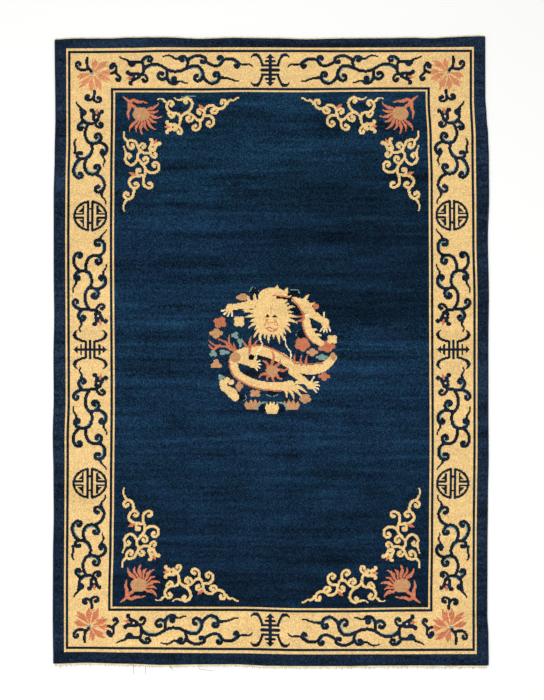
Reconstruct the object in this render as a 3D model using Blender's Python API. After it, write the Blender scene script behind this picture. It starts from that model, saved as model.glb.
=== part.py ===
"""A hand-knotted Chinese rug lying flat: its pile body, the overcast cord along each side, and the
cotton web at each end, with the frayed warp ends that stand out of the webs.

Metres, +Z up. X runs across the rug, Y along it, and the underside lies on Z = 0. The middle of
the whole rug, frayed ends included, is above the origin.
"""

import random

import bmesh
import bpy
from mathutils import Vector

MM = 0.001

# The knotted rectangle, before its edges wander.
BODY_WIDTH = 1.8164
BODY_LENGTH = 2.634
BODY_THICKNESS = 0.008
RIM_ROUNDING = 0.0025
RIM_STEPS = 2

# The yarn wound round the outermost warps of each side.
SELVEDGE_DIAMETER = 0.006

# The flat-woven cotton beyond the last row of knots, and the warp ends that have frayed from it.
WEB_THICKNESS = 0.002
TOP_WEB_DEPTH = 0.005
BOTTOM_WEB_DEPTH = 0.0085
END_WIDTH = 0.0024
END_TIP_SHARE = 0.45
TOP_END_COUNT = 40
TOP_END_REACH = (0.001, 0.003)
BOTTOM_END_COUNT = 80
BOTTOM_END_REACH = (0.002, 0.008)
END_LEAN = 0.6
END_SEED = 11

SEAT_GAP = 0.0003
CELLS_ACROSS = 64
CELLS_ALONG = 48

# How far each edge stands out from the straight rectangle.
# Columns: place along the edge in mm from its middle, distance outwards in mm.
LEFT_EDGE = (
    (-1317, 2.0), (-1110, 4.0), (-860, 3.0), (-690, 0.0), (-520, 1.0), (-355, 4.0), (-190, 0.0),
    (-20, 1.0), (150, -2.0), (320, 0.0), (650, 0.0), (820, -4.0), (990, -7.0), (1317, -4.0),
)
RIGHT_EDGE = (
    (-1317, 2.0), (-1195, 1.0), (-1110, -3.5), (-860, -3.0), (-610, -1.0), (-440, 2.0), (-270, 1.0),
    (60, 1.0), (230, 3.0), (480, -1.0), (650, 4.0), (820, 3.0), (905, 0.0), (990, -7.0),
    (1070, -12.0), (1317, -12.5),
)
TOP_EDGE = (
    (-908, -5.0), (-830, -1.0), (-680, -1.0), (-600, 3.0), (-450, 4.0), (-300, -2.0), (-150, 2.0),
    (0, 0.0), (155, -4.0), (310, -1.0), (460, 0.0), (610, 2.0), (690, 0.0), (760, 4.0), (840, 8.0),
    (908, 9.0),
)
BOTTOM_EDGE = (
    (-908, -4.0), (-770, -8.0), (-600, -4.0), (-450, 1.0), (-300, -1.0), (-150, -1.5), (0, 5.0),
    (155, 6.0), (310, 6.0), (460, 4.0), (610, 3.5), (760, 4.0), (908, 4.0),
)

# Warp ends that have worked loose at the bottom, longer than the rest.
# Columns: place along the web in mm, then the end's bends as (mm to the right, mm outwards).
LOOSE_ENDS = (
    (-884, ((-3, 10), (3, 13))),
    (-579, ((1, 12), (1, 25), (0, 37))),
    (-528, ((0, 12), (-1, 24), (0, 36))),
    (-424, ((9, 12), (20, 16))),
    (-306, ((5, 12), (26, 15), (48, 18), (67, 20))),
)

# Colours as linear red, green and blue.
NAVY_WOOL = (0.010, 0.028, 0.060)
DARK_NAVY_YARN = (0.012, 0.026, 0.048)
UNDYED_COTTON = (0.78, 0.70, 0.53)


def wool_material(name, colour, roughness):
    """A matt material for one kind of yarn."""
    material = bpy.data.materials.new(name)
    material.use_nodes = True
    shader = material.node_tree.nodes["Principled BSDF"]
    shader.inputs["Base Color"].default_value = (*colour, 1.0)
    shader.inputs["Roughness"].default_value = roughness
    shader.inputs["Metallic"].default_value = 0.0
    material.diffuse_color = (*colour, 1.0)
    return material


def wander(table, place):
    """Distance outwards at a place along an edge, eased between the table's rows. Metres."""
    place_mm = place / MM
    if place_mm <= table[0][0]:
        return table[0][1] * MM
    for (start, out_start), (end, out_end) in zip(table, table[1:]):
        if place_mm <= end:
            share = (place_mm - start) / (end - start)
            eased = share * share * (3.0 - 2.0 * share)
            return (out_start + (out_end - out_start) * eased) * MM
    return table[-1][1] * MM


def station(index, count, length):
    """The place of one of count + 1 even stations along a length that is centred on zero."""
    return (index / count - 0.5) * length


def body_point(x, y):
    """Where a point of the straight rectangle lies once all four edges wander."""
    left = -BODY_WIDTH / 2 - wander(LEFT_EDGE, y)
    right = BODY_WIDTH / 2 + wander(RIGHT_EDGE, y)
    bottom = -BODY_LENGTH / 2 - wander(BOTTOM_EDGE, x)
    top = BODY_LENGTH / 2 + wander(TOP_EDGE, x)
    share_x = x / BODY_WIDTH + 0.5
    share_y = y / BODY_LENGTH + 0.5
    return Vector((left + (right - left) * share_x, bottom + (top - bottom) * share_y, 0.0))


def end_edge(side):
    """The body's edge points at one end, left to right. side is 1 for the top, -1 for the bottom."""
    row = side * BODY_LENGTH / 2
    return [body_point(station(i, CELLS_ACROSS, BODY_WIDTH), row) for i in range(CELLS_ACROSS + 1)]


def edge_height(points, x):
    """Y of a line of points at x, straight between neighbours."""
    for start, end in zip(points, points[1:]):
        if x <= end.x:
            share = (x - start.x) / (end.x - start.x)
            return start.y + (end.y - start.y) * share
    return points[-1].y


def object_from(mesh_builder, name, material, collection):
    """Finish a bmesh as a named object with its material, in the rug's collection."""
    bmesh.ops.recalc_face_normals(mesh_builder, faces=mesh_builder.faces)
    mesh = bpy.data.meshes.new(name)
    mesh_builder.to_mesh(mesh)
    mesh_builder.free()
    mesh.materials.append(material)
    piece = bpy.data.objects.new(name, mesh)
    collection.objects.link(piece)
    return piece


def raise_solid(mesh_builder, height):
    """Turn a flat sheet of faces into a closed solid of the given height."""
    raised = bmesh.ops.extrude_face_region(
        mesh_builder, geom=mesh_builder.faces[:], use_keep_orig=True
    )
    upper = [part for part in raised["geom"] if isinstance(part, bmesh.types.BMVert)]
    bmesh.ops.translate(mesh_builder, verts=upper, vec=(0.0, 0.0, height))


def make_pile_body(collection):
    """The knotted slab: a warped grid raised to its thickness, with a softly rounded upper rim."""
    mesh = bmesh.new()
    bmesh.ops.create_grid(mesh, x_segments=CELLS_ACROSS, y_segments=CELLS_ALONG, size=0.5)
    for vert in mesh.verts:
        vert.co = body_point(vert.co.x * BODY_WIDTH, vert.co.y * BODY_LENGTH)
    raise_solid(mesh, BODY_THICKNESS)
    rim = [
        edge for edge in mesh.edges
        if all(vert.co.z > BODY_THICKNESS / 2 for vert in edge.verts)
        and any(min(vert.co.z for vert in face.verts) < BODY_THICKNESS / 2
                for face in edge.link_faces)
    ]
    bmesh.ops.bevel(
        mesh, geom=rim, offset=RIM_ROUNDING, segments=RIM_STEPS, profile=0.5, affect="EDGES"
    )
    bmesh.ops.recalc_face_normals(mesh, faces=mesh.faces)
    inner_edges = [
        edge for edge in mesh.edges
        if all(abs(face.normal.z) > 0.999 for face in edge.link_faces)
    ]
    bmesh.ops.dissolve_edges(mesh, edges=inner_edges, use_verts=True)
    return object_from(mesh, "pile_body", wool_material("navy_wool_pile", NAVY_WOOL, 0.9), collection)


def make_selvedge(name, side, material, collection):
    """The overcast cord along one side. side is -1 for the left, 1 for the right."""
    radius = SELVEDGE_DIAMETER / 2
    curve = bpy.data.curves.new(name, "CURVE")
    curve.dimensions = "3D"
    curve.bevel_depth = radius
    curve.bevel_resolution = 2
    curve.use_fill_caps = True
    route = curve.splines.new("POLY")
    route.points.add(CELLS_ALONG)
    for index, point in enumerate(route.points):
        place = body_point(side * BODY_WIDTH / 2, station(index, CELLS_ALONG, BODY_LENGTH))
        point.co = (place.x + side * (radius + SEAT_GAP), place.y, radius, 1.0)
    curve.materials.append(material)
    piece = bpy.data.objects.new(name, curve)
    collection.objects.link(piece)
    return piece


def end_places(count, loose, rng):
    """Places of the frayed ends along a web, evenly spread with some wander, clear of loose ones."""
    spacing = BODY_WIDTH / count
    places = []
    for index in range(count):
        place = station(index + 0.5, count, BODY_WIDTH) + rng.uniform(-0.3, 0.3) * spacing
        if all(abs(place - x) > 3 * END_WIDTH for x in loose):
            places.append(place)
    return places


def grow_end(mesh, root, bends, side):
    """Draw one warp end out of its face on the web, bend by bend, thinning to its tip."""
    face = root
    start = face.calc_center_median()
    reached = Vector((0.0, 0.0, 0.0))
    for number, (along, out) in enumerate(bends, 1):
        drawn = bmesh.ops.extrude_discrete_faces(mesh, faces=[face])
        face = drawn["faces"][0]
        target = Vector((along, side * out, 0.0))
        bmesh.ops.translate(mesh, verts=face.verts, vec=target - reached)
        reached = target
        whole = 1.0 - (1.0 - END_TIP_SHARE) * number / len(bends)
        before = 1.0 - (1.0 - END_TIP_SHARE) * (number - 1) / len(bends)
        for vert in face.verts:
            middle = start.x + reached.x
            vert.co.x = middle + (vert.co.x - middle) * whole / before
            vert.co.z = vert.co.z * whole / before


def make_end_web(name, side, depth, count, reach, loose_ends, material, collection):
    """The cotton web at one end, with its frayed warp ends. side is 1 for the top, -1 for the bottom."""
    rng = random.Random(END_SEED + side)
    edge = end_edge(side)
    ends = {place: None for place in end_places(count, [row[0] * MM for row in loose_ends], rng)}
    ends.update({row[0] * MM: row[1] for row in loose_ends})
    roots = [(place - END_WIDTH / 2, place + END_WIDTH / 2) for place in ends]
    corners = [
        point.x for point in edge
        if all(abs(point.x - place) > END_WIDTH for place in ends)
    ]
    cuts = sorted([x for root in roots for x in root] + corners)

    mesh = bmesh.new()
    bmesh.ops.create_grid(mesh, x_segments=len(cuts) - 1, y_segments=1, size=0.5)
    for vert in mesh.verts:
        x = cuts[round((vert.co.x + 0.5) * (len(cuts) - 1))]
        outer = vert.co.y > 0
        y = edge_height(edge, x) + side * (SEAT_GAP + (depth if outer else 0.0))
        vert.co = (x, y, 0.0)
    raise_solid(mesh, WEB_THICKNESS)
    bmesh.ops.recalc_face_normals(mesh, faces=mesh.faces)
    outer_faces = {
        face.calc_center_median().x: face for face in mesh.faces if face.normal.y * side > 0.7
    }
    for place in sorted(ends):
        face = outer_faces[min(outer_faces, key=lambda x: abs(x - place))]
        bends = ends[place]
        if bends is None:
            out = rng.uniform(*reach)
            bends = ((rng.uniform(-END_LEAN, END_LEAN) * out, out),)
        else:
            bends = [(along * MM, out * MM) for along, out in bends]
        grow_end(mesh, face, bends, side)
    return object_from(mesh, name, material, collection)


def centre_on_origin(pieces):
    """Shift the whole rug so that the middle of its outline is above the origin."""
    bpy.context.view_layer.update()
    corners = [piece.matrix_world @ Vector(corner) for piece in pieces for corner in piece.bound_box]
    low_x, high_x = min(c.x for c in corners), max(c.x for c in corners)
    low_y, high_y = min(c.y for c in corners), max(c.y for c in corners)
    for piece in pieces:
        piece.location.x -= (low_x + high_x) / 2
        piece.location.y -= (low_y + high_y) / 2


def main():
    for leftover in list(bpy.data.objects):
        bpy.data.objects.remove(leftover, do_unlink=True)
    collection = bpy.data.collections.new("chinese_rug")
    bpy.context.scene.collection.children.link(collection)

    overcast = wool_material("overcast_side_yarn", DARK_NAVY_YARN, 0.85)
    cotton = wool_material("undyed_cotton_warp", UNDYED_COTTON, 0.9)
    pieces = [
        make_pile_body(collection),
        make_selvedge("selvedge_left", -1, overcast, collection),
        make_selvedge("selvedge_right", 1, overcast.copy(), collection),
        make_end_web("end_web_top", 1, TOP_WEB_DEPTH, TOP_END_COUNT, TOP_END_REACH, (),
                     cotton, collection),
        make_end_web("end_web_bottom", -1, BOTTOM_WEB_DEPTH, BOTTOM_END_COUNT, BOTTOM_END_REACH,
                     LOOSE_ENDS, cotton.copy(), collection),
    ]
    centre_on_origin(pieces)


main()
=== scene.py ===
import math
import random

import bpy
import numpy as np
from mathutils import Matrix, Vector


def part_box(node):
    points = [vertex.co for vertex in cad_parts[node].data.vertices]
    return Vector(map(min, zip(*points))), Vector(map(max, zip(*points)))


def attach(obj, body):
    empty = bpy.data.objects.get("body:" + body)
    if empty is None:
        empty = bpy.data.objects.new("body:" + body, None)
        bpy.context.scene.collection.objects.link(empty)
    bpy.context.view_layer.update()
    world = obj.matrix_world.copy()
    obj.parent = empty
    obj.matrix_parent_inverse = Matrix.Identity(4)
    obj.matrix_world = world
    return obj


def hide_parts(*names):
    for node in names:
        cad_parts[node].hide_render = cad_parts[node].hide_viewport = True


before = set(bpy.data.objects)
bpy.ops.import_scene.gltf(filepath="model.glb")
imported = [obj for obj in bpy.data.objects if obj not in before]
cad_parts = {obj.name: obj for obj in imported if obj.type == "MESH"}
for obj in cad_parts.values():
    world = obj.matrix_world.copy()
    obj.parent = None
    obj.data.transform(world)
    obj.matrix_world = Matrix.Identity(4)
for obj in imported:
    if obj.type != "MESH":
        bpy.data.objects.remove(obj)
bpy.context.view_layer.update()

# Sizes of the rug, in metres, as the part has them.
BODY_WIDTH = 1.8164
BODY_LENGTH = 2.634
BODY_THICKNESS = 0.008
SELVEDGE_DIAMETER = 0.006
WEB_THICKNESS = 0.002
TOP_WEB_DEPTH = 0.005
BOTTOM_WEB_DEPTH = 0.0085
SEAT_GAP = 0.0003

# How the four edges wander: place along the edge in mm from its middle, distance outwards in mm.
LEFT_EDGE = (
    (-1317, 2.0), (-1110, 4.0), (-860, 3.0), (-690, 0.0), (-520, 1.0), (-355, 4.0), (-190, 0.0),
    (-20, 1.0), (150, -2.0), (320, 0.0), (650, 0.0), (820, -4.0), (990, -7.0), (1317, -4.0),
)
RIGHT_EDGE = (
    (-1317, 2.0), (-1195, 1.0), (-1110, -3.5), (-860, -3.0), (-610, -1.0), (-440, 2.0), (-270, 1.0),
    (60, 1.0), (230, 3.0), (480, -1.0), (650, 4.0), (820, 3.0), (905, 0.0), (990, -7.0),
    (1070, -12.0), (1317, -12.5),
)
TOP_EDGE = (
    (-908, -5.0), (-830, -1.0), (-680, -1.0), (-600, 3.0), (-450, 4.0), (-300, -2.0), (-150, 2.0),
    (0, 0.0), (155, -4.0), (310, -1.0), (460, 0.0), (610, 2.0), (690, 0.0), (760, 4.0), (840, 8.0),
    (908, 9.0),
)
BOTTOM_EDGE = (
    (-908, -4.0), (-770, -8.0), (-600, -4.0), (-450, 1.0), (-300, -1.0), (-150, -1.5), (0, 5.0),
    (155, 6.0), (310, 6.0), (460, 4.0), (610, 3.5), (760, 4.0), (908, 4.0),
)

# Loose warp ends at the bottom: place in mm, then bends as (mm to the right, mm outwards).
LOOSE_ENDS = (
    (-884, ((-3, 10), (3, 13))),
    (-579, ((1, 12), (1, 25), (0, 37))),
    (-528, ((0, 12), (-1, 24), (0, 36))),
    (-424, ((9, 12), (20, 16))),
    (-306, ((5, 12), (26, 15), (48, 18), (67, 20))),
)

# The weaver's chart. The design is drawn on it in squares of 4.204 mm, counted from its middle,
# to the right and downwards, and each knot then takes the yarn at its own place.
SQUARE = 0.004204
KNOT_COLUMNS = 508
KNOT_ROWS = 735
DESIGN_HALF_WIDTH = BODY_WIDTH / 2 / SQUARE
DESIGN_HALF_LENGTH = BODY_LENGTH / 2 / SQUARE
DESIGN_MIDDLE = (-0.004, 0.0063)   # its place from the middle of the body, in metres

# The yarns, by the number that a knot carries.
FIELD, BORDER, GOLD, LINE, SHADE, CORAL, RUST, ROSE, TAN, TEAL, INK, CREAM, MARINE = range(13)

# The plain stripes that frame the border: yarn, then how far out they reach across and along. The
# first reaches past the edge.
STRIPES = (
    (BORDER, DESIGN_HALF_WIDTH + 1, DESIGN_HALF_LENGTH + 3),
    (GOLD, 205.9, 302.7),
    (LINE, 203.8, 300.65),
    (GOLD, 201.25, 298.2),
    (LINE, 162.0, 261.9),
    (GOLD, 159.4, 259.7),
    (FIELD, 157.5, 257.8),
)

# How far the woven lines stray from the straight design, in squares: place along, then stray.
LEFT_GUARD = ((-250, 2.1), (-210, 2.2), (-170, 1.4), (-110, 1.1), (50, 1.6), (90, 0.5), (250, -0.2))
LEFT_INNER = ((-250, 2.4), (-170, 1.6), (-110, 1.3), (50, 2.0), (150, 1.3), (190, 0.8), (250, -0.4))
RIGHT_INNER = ((-250, -1.6), (-210, 0.4), (-170, 1.4), (-50, 1.8), (90, 2.4), (190, 1.7), (250, 1.0))
RIGHT_GUARD = ((-250, -2.0), (-210, -0.4), (-110, 0.5), (-50, 1.7), (90, 1.7), (190, 0.9), (250, 0.8))
TOP_GUARD = ((-190, 1.3), (-140, 0.9), (-110, 0.2), (30, 0.2), (70, 0.4), (190, 0.1))
TOP_INNER = ((-140, 0.1), (-70, 0.2), (-30, -0.3), (30, 0.0), (110, -0.7), (150, -0.8))
BOTTOM_INNER = ((-140, -1.1), (-30, -1.0), (30, 0.5), (70, 0.5), (150, -0.5))
BOTTOM_GUARD = ((-190, -1.4), (-140, -0.9), (-30, -0.1), (30, 0.9), (110, 0.9), (190, 0.6))
MIDDLE_ACROSS = ((-260, 0.2), (-120, 1.4), (0, 2.4), (120, 1.6), (260, 0.2))
MIDDLE_ALONG = ((-160, -0.4), (0, -0.7), (160, -0.5))
# The lines that the rows of knots follow, each with its place in the straight design.
LINES_ACROSS = (
    (-203.65, LEFT_GUARD), (-159.5, LEFT_INNER), (0, MIDDLE_ACROSS), (159.5, RIGHT_INNER),
    (203.65, RIGHT_GUARD),
)
LINES_ALONG = (
    (-300.5, TOP_GUARD), (-259.8, TOP_INNER), (0, MIDDLE_ALONG), (259.8, BOTTOM_INNER),
    (300.5, BOTTOM_GUARD),
)

# Dye lots of the navy wool, from the top down: place in squares, then lightness, as judged.
DYE_LOTS = (
    (-310, 1.0), (-250, 1.1), (-230, 1.0), (-200, 1.1), (-180, 1.0), (-115, 0.95), (-100, 0.95),
    (-30, 0.95), (-24, 1.12), (70, 1.08), (95, 1.12), (105, 0.98), (190, 0.95), (240, 0.85),
    (310, 0.85),
)
# Where the left half is lighter and the right darker: place in squares, then by how much.
LOT_SPLIT = (
    (-310, 0.0), (-185, 0.0), (-178, 0.08), (-115, 0.1), (-100, 0.05), (-30, 0.15), (-24, 0.0), (310, 0.0),
)
SPLIT_WIDTH = 30        # how softly the left lot passes into the right one
# How many of the field's knots are of a greener dye, from the top down: place in squares, then share.
GREENER = (
    (-310, 0.3), (-180, 0.35), (-110, 0.1), (-40, 0.2), (60, 0.1), (140, 0.2), (200, 0.05), (310, 0.0),
)
# A worn line in the field where the cotton shows, drawn as one pale line.
WORN = ((-90, -253), (-83, -254), (-76, -254))
WORN_WIDTH = 0.9

# Round forms are drawn as with a compass: arcs between two places, joined end to end. A place is
# counted in squares, and an arc's turn in degrees, clockwise on the page. A curl winds inwards to a bulb.
ARC_STEPS = 8
CURL_TURN = 230
CURL_END = 0.45         # how small a curl's arc has become at its bulb


def walk(start, headings, lengths):
    """The places passed on a walk of short straight steps."""
    steps = np.column_stack((np.cos(headings), np.sin(headings))) * np.reshape(lengths, (-1, 1))
    return start + np.cumsum(steps, 0)


def arc(start, end, turn):
    """An arc between two places, and the way it heads at its end."""
    start, end = np.array(start, float), np.array(end, float)
    way = end - start
    half = math.radians(turn) / 2
    middle = math.atan2(way[1], way[0])
    length = np.hypot(*way) * (half / math.sin(half) if turn else 1)
    headings = middle + half * (2 * np.arange(ARC_STEPS) + 1 - ARC_STEPS) / ARC_STEPS
    return walk(start, headings, length / ARC_STEPS), middle + half


def curl(start, heading, radius):
    """A curl from a place, clockwise where its radius is positive."""
    bend = math.copysign(math.radians(CURL_TURN) / ARC_STEPS, radius)
    radii = abs(radius) * np.linspace(1, CURL_END, ARC_STEPS)
    return walk(start, heading + bend * (np.arange(ARC_STEPS) + 0.5), radii * abs(bend))


def stem(points, radius=0):
    """A stem of arcs: its start, then (across, along, turn) for each arc, and a curl's radius or 0."""
    route = [np.array([points[0]], float)]
    heading = 0
    for across, along, turn in points[1:]:
        leg, heading = arc(route[-1][-1], (across, along), turn)
        route.append(leg)
    if radius:
        route.append(curl(route[-1][-1], heading, radius))
    return np.vstack(route)


class Place:
    """Where a motif stands on the chart, which way it is turned, and its size."""

    def __init__(self, corner, turn=((1, 0), (0, 1))):
        self.corner = np.array(corner, float)
        self.turn = np.array(turn, float)

    def put(self, points):
        """The motif's own points, where they fall on the chart."""
        return self.corner + np.atleast_2d(np.array(points, float)) @ self.turn

    def within(self, spot, degrees=0.0, size=1.0, hand=1):
        """A smaller motif's place in this one: turned clockwise, and of the other hand if hand is -1."""
        cosine, sine = math.cos(math.radians(degrees)), math.sin(math.radians(degrees))
        turn = np.array(((cosine, sine), (-sine * hand, cosine * hand))) * size
        return Place(self.put(spot)[0], turn @ self.turn)


def knot_middles(half, count):
    """The places of the middles of the knots in one row or column."""
    return np.linspace(-half + half / count, half - half / count, count)


class Chart:
    """The squared paper: one yarn for each knot, rows from the top down."""

    def __init__(self):
        self.u = knot_middles(DESIGN_HALF_WIDTH, KNOT_COLUMNS)
        self.v = knot_middles(DESIGN_HALF_LENGTH, KNOT_ROWS)
        self.yarn = np.full((KNOT_ROWS, KNOT_COLUMNS), FIELD, np.int8)

    def near(self, points, margin):
        """The part of the chart around some points, with the places of its knots."""
        low = points.min(0) - margin
        high = points.max(0) + margin
        columns = slice(*np.searchsorted(self.u, (low[0], high[0])))
        rows = slice(*np.searchsorted(self.v, (low[1], high[1])))
        return (rows, columns), self.u[columns][None, :], self.v[rows][:, None]

    def frame(self, yarn, reach_across, reach_along):
        """A rectangle about the middle, which later and smaller ones leave as a frame."""
        inside = (abs(self.v)[:, None] < reach_along) & (abs(self.u)[None, :] < reach_across)
        self.yarn[inside] = yarn

    def stroke(self, yarn, route, widths):
        """A band along a route, with its width at each place of it."""
        widths = np.broadcast_to(widths, len(route))
        for start, end, w0, w1 in zip(route[:-1], route[1:], widths[:-1], widths[1:]):
            cells, u, v = self.near(np.array((start, end)), max(w0, w1) / 2 + 1)
            way = end - start
            length = max(way @ way, 1e-9)
            t = np.clip(((u - start[0]) * way[0] + (v - start[1]) * way[1]) / length, 0, 1)
            away = np.hypot(u - start[0] - t * way[0], v - start[1] - t * way[1])
            self.yarn[cells][away <= (w0 + (w1 - w0) * t) / 2] = yarn

    def spot(self, yarn, place, spot, across, along=None):
        """A round or oval spot, by its radius across and along."""
        middle = place.put(spot)[0]
        along = along or across
        cells, u, v = self.near(middle[None, :], max(across, along) + 1)
        inside = ((u - middle[0]) / across) ** 2 + ((v - middle[1]) / along) ** 2 <= 1
        self.yarn[cells][inside] = yarn

    def fill(self, yarn, outline):
        """All that lies inside an outline."""
        cells, u, v = self.near(outline, 1)
        inside = np.zeros(np.broadcast_shapes(u.shape, v.shape), bool)
        for (u0, v0), (u1, v1) in zip(outline, np.roll(outline, -1, 0)):
            if v0 != v1:
                inside ^= ((v >= v0) != (v >= v1)) & (u < u0 + (v - v0) * (u1 - u0) / (v1 - v0))
        self.yarn[cells][inside] = yarn

    def leaf(self, yarn, place, route, root, belly, tip, where=0.5):
        """A form that swells from its root to its belly and narrows to its tip."""
        share = np.linspace(0, 1, len(route))
        self.stroke(yarn, place.put(route), np.interp(share, (0, where, 1), (root, belly, tip)))


# The scrolls: vines as (points of the stem, radius of its curl), tails from their thin tips inwards,
# and buds as (root, the way it faces, size, the side its hook is on). Places are counted in squares
# from each scroll's own corner, across and then along, towards the middle of the rug.

# The scroll of the end borders, from the corner flower to the middle.
END_SCROLL = {
    "place": (171, 298),
    "vines": (
        (((28, 9), (41, 9, -20)), 0),
        (((28, 9), (29, 12, -40)), -2.5),
        (((41, 9), (48, 4, 70)), 3),
        (((41, 9), (43, 16, 20), (41, 22, 30)), 0),
        (((44, 16), (56, 12, 60), (66, 17, 20), (78, 19, -40), (86, 16, -30)), 0),
        (((86, 16), (87, 8, -40), (83, 4, -60)), -3),
        (((66, 17), (66, 25, 40), (60, 27, 70)), 4),
        (((66, 24), (70, 31, -50), (76, 31, -40)), 0),
        (((75, 31), (72, 28, 40)), 2.2),
        (((87, 9), (94, 4, 40), (104, 5, 40)), 3.5),
        (((105, 8), (112, 13, -30), (119, 13, -40), (123, 7, -60)), -3),
        (((134, 8), (139, 12, 50)), 2.5),
        (((87, 16), (98, 14, 50), (103, 22, 50), (100, 28, 50)), 4),
        (((103, 24), (110, 31, -40), (118, 29, -60), (119, 22, -60)), -3),
    ),
    "tails": (
        ((18, 4), (22, 6, -30), (28, 9, 30)),
        ((62, 4), (68, 3, -20), (74, 6, 20), (80, 6, -20)),
        ((87, 31), (81, 29, 30), (75, 31, -50)),
        ((153, 15), (149, 12, -50), (141, 12, 30), (134, 7, -20), (123, 8, -30)),
        ((139, 29), (133, 28, 40), (120, 26, -30)),
    ),
    "buds": (((41, 22), 165, 1.0, -1),),
    "leaves": (),
}

# The scroll of the side borders, from the corner flower to the round fret.
SIDE_SCROLL = {
    "place": (202, 250),
    "vines": (
        (((11, 9), (12, 19, -10), (19, 24, -60), (26, 22, -30)), 0),
        (((11, 10), (14, 11, 40)), 2.2),
        (((13, 22), (8, 26, -50)), -3),
        (((18, 24), (15, 33, -30), (18, 42, -40), (27, 43, -60), (31, 37, -70)), -3.5),
        (((28, 42), (36, 46, 40), (36, 53, 60)), 3),
        (((21, 43), (22, 51, 30), (17, 58, 50), (9, 58, 40)), 3.5),
        (((11, 59), (5, 66, -50), (5, 75, -50), (10, 78, -60)), -3),
        (((17, 58), (15, 66, -30), (18, 73, -50), (26, 74, -50), (30, 68, -60)), -3),
        (((25, 74), (33, 79, 40), (35, 86, 30), (31, 92, 60)), 4),
    ),
    "tails": (
        ((6, 2), (10, 7, -40), (11, 12, 40)),
        ((34, 66), (35, 61, 40), (33, 57, -40), (36, 52, 40)),
        ((6, 39), (4, 43, -40), (5, 53, 20)),
        ((36, 104), (35, 99, -40), (32, 96, 30), (33, 91, 40)),
    ),
    "buds": (((25, 23), -82, 0.9, 1),),
    "leaves": (),
}

# The scroll of the side borders, from the round fret to the middle.
INNER_SCROLL = {
    "place": (201, 130),
    "vines": (
        (((27, 36), (33, 33, -40), (34, 24, -50), (28, 20, -70)), -3.5),
        (((27, 36), (20, 37, -40), (16, 44, -40), (16, 51, -10)), 0),
        (((27, 36), (31, 40, 60)), 3.5),
        (((9, 51), (4, 44, 30), (4, 37, 30), (8, 33, 50)), 3),
        (((5, 57), (8, 52, 60), (17, 52, 30), (21, 58, 60), (20, 67, 40)), 0),
        (((5, 55), (5, 59, -60)), -2.5),
        (((19, 68), (28, 69, -10), (35, 64, -60), (34, 57, -60)), -3),
        (((20, 67), (15, 74, -40), (15, 82, -30), (18, 88, -20)), 0),
        (((24, 69), (28, 73, 60), (26, 78, 60)), 3),
        (((26, 90), (9, 89, 10), (3, 84, 60)), 3),
        (((12, 90), (8, 95, -50), (10, 100, -60)), -3),
    ),
    "tails": (
        ((36, 10), (32, 15, 30), (30, 20, -40)),
        ((3, 73), (3, 68, 30), (6, 63, -10), (5, 57, -20)),
        ((36, 45), (35, 49, 30), (33, 53, -30), (34, 58, -20)),
        ((10, 112), (9, 108, 40), (11, 104, -40), (10, 99, 30)),
    ),
    "buds": (((26, 90), 75, 1.0, -1),),
    "leaves": (),
}

# The flaming sun in each corner of the field.
SUN_PLACE = (131, 236)

# The gold scroll beside each sun along the end of the field, counted from the sun's middle.
FIELD_END_SCROLL = {
    "place": SUN_PLACE,
    "vines": (
        (((32, -1), (26, -7, 50), (28, -12, 50)), 3),
        (((28, -2), (29, 2, -50)), -2.8),
        (((32, -1), (38, 0, 30), (40, 6, 50), (37, 13, 40)), 0),
        (((40, 4), (46, -1, 60), (52, 1, 30), (57, 6, 0), (62, 5, -60), (64, -3, -30)), 0),
        (((64, -3), (68, -8, 50), (74, -8, 50), (78, -5, -20), (83, -6, -40), (86, -11, -50)), -3),
        (((44, -1), (50, -5, -50), (52, -11, -30), (47, -16, -60)), -3),
        (((53, 3), (50, 7, 60)), 2.8),
        (((59, 6), (60, 12, 30), (56, 16, 60)), 3),
        (((64, -3), (60, -5, -40)), -2.8),
        (((78, -5), (75, -1, 60)), 2.8),
        (((64, 2), (70, 2, 30), (74, 7, 60), (71, 12, 60)), 3),
    ),
    "tails": (
        ((17, -15), (22, -15, 40), (27, -11, -30)),
        ((34, -16), (38, -14, -30), (46, -15, 20)),
        ((99, -16), (95, -14, -50), (91, -14, 50), (87, -10, -40)),
    ),
    "buds": (((38, 13), 180, 0.85, -1),),
    "leaves": (((59, -9), (64, -5)),),
}

# The gold scroll beside each sun along the side of the field.
FIELD_SIDE_SCROLL = {
    "place": SUN_PLACE,
    "vines": (
        (((-13, 27), (-5, 28, 50), (-1, 36, -10), (9, 39, -60)), 0),
        (((-13, 27), (-12, 33, -40)), -3),
        (((-2, 34), (1, 30, 60)), 2.6),
        (((-1, 38), (-3, 44, -60), (2, 50, -10), (5, 58, 50), (3, 64, 0)), 0),
        (((3, 64), (3, 70, -30), (8, 74, -50)), -3.2),
        (((-3, 44), (-9, 51, 60), (-15, 47, 60), (-14, 41, 60)), 2.5),
        (((2, 50), (7, 47, -60)), -2.8),
        (((5, 55), (11, 59, -40), (18, 56, -60), (17, 49, -70)), -3),
        (((4, 61), (-5, 62, 10)), 0),
        (((-3, 61), (-4, 57, 30)), 2.2),
        (((-4, 62), (-11, 66, -50), (-10, 72, -50), (-5, 74, -50)), -3),
        (((-7, 74), (-7, 80, 20), (-11, 85, 50), (-16, 83, 60)), 3),
    ),
    "tails": (
        ((-17, 18), (-17, 23, -20), (-13, 27, -40)),
        ((-17, 32), (-15, 37, -30), (-15, 43, 10)),
        ((-16, 97), (-17, 92, 40), (-14, 86, 20)),
    ),
    "buds": (((10, 38), -66, 0.85, 1),),
    "leaves": (((-5, 61), (-11, 59)),),
}

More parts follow.
